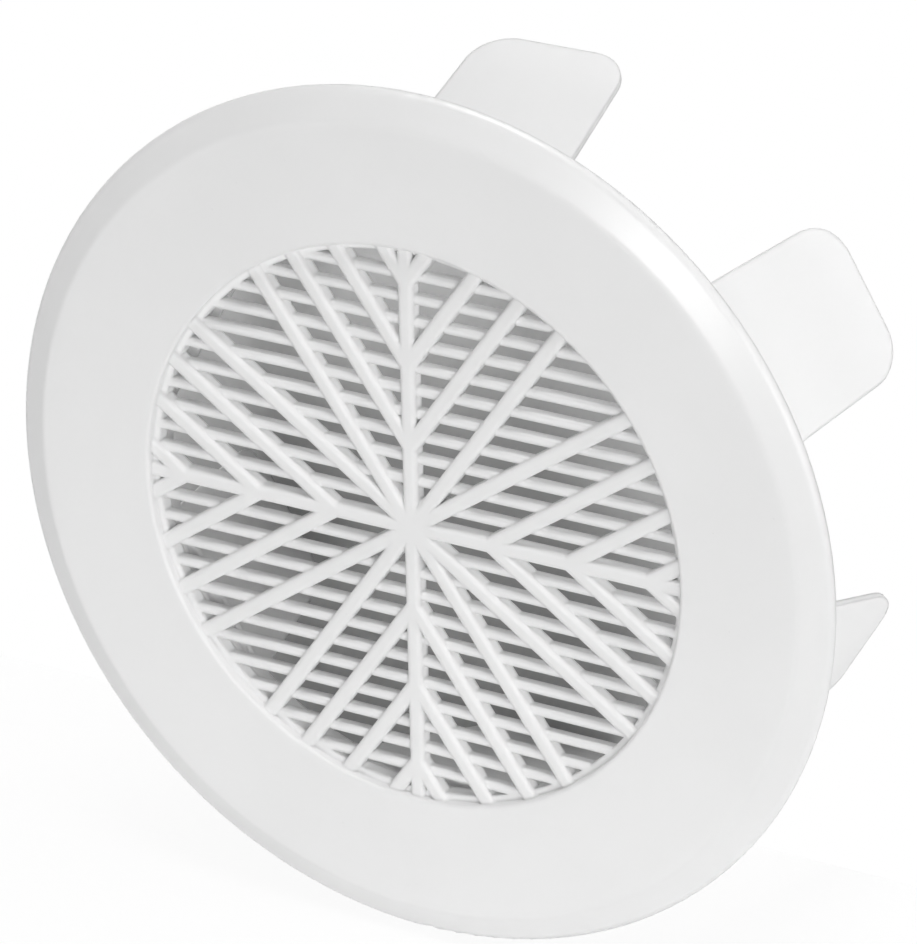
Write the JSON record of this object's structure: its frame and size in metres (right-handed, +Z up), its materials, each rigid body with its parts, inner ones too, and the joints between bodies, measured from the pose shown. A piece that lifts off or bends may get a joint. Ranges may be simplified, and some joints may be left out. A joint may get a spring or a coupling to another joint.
{
  "type": "ventilation grille",
  "caption": "Round plastic ventilation grille with a bevelled flange, a snowflake lattice on level slats, and flat spring tabs behind that grip a duct.",
  "frame": {"origin": "centre of the flange's back rim, on the wall plane", "axes": "+Y into the duct, normal to the back rim; the lattice faces -Y; +Z up, along the upright spoke; +X to the right seen from the front"},
  "size_m": [0.15, 0.0537, 0.15],
  "materials": {
    "grille": "moulded white plastic, satin gloss"
  },
  "bodies": {
    "root": {"grille": "grille"}
  },
  "joints": []
}
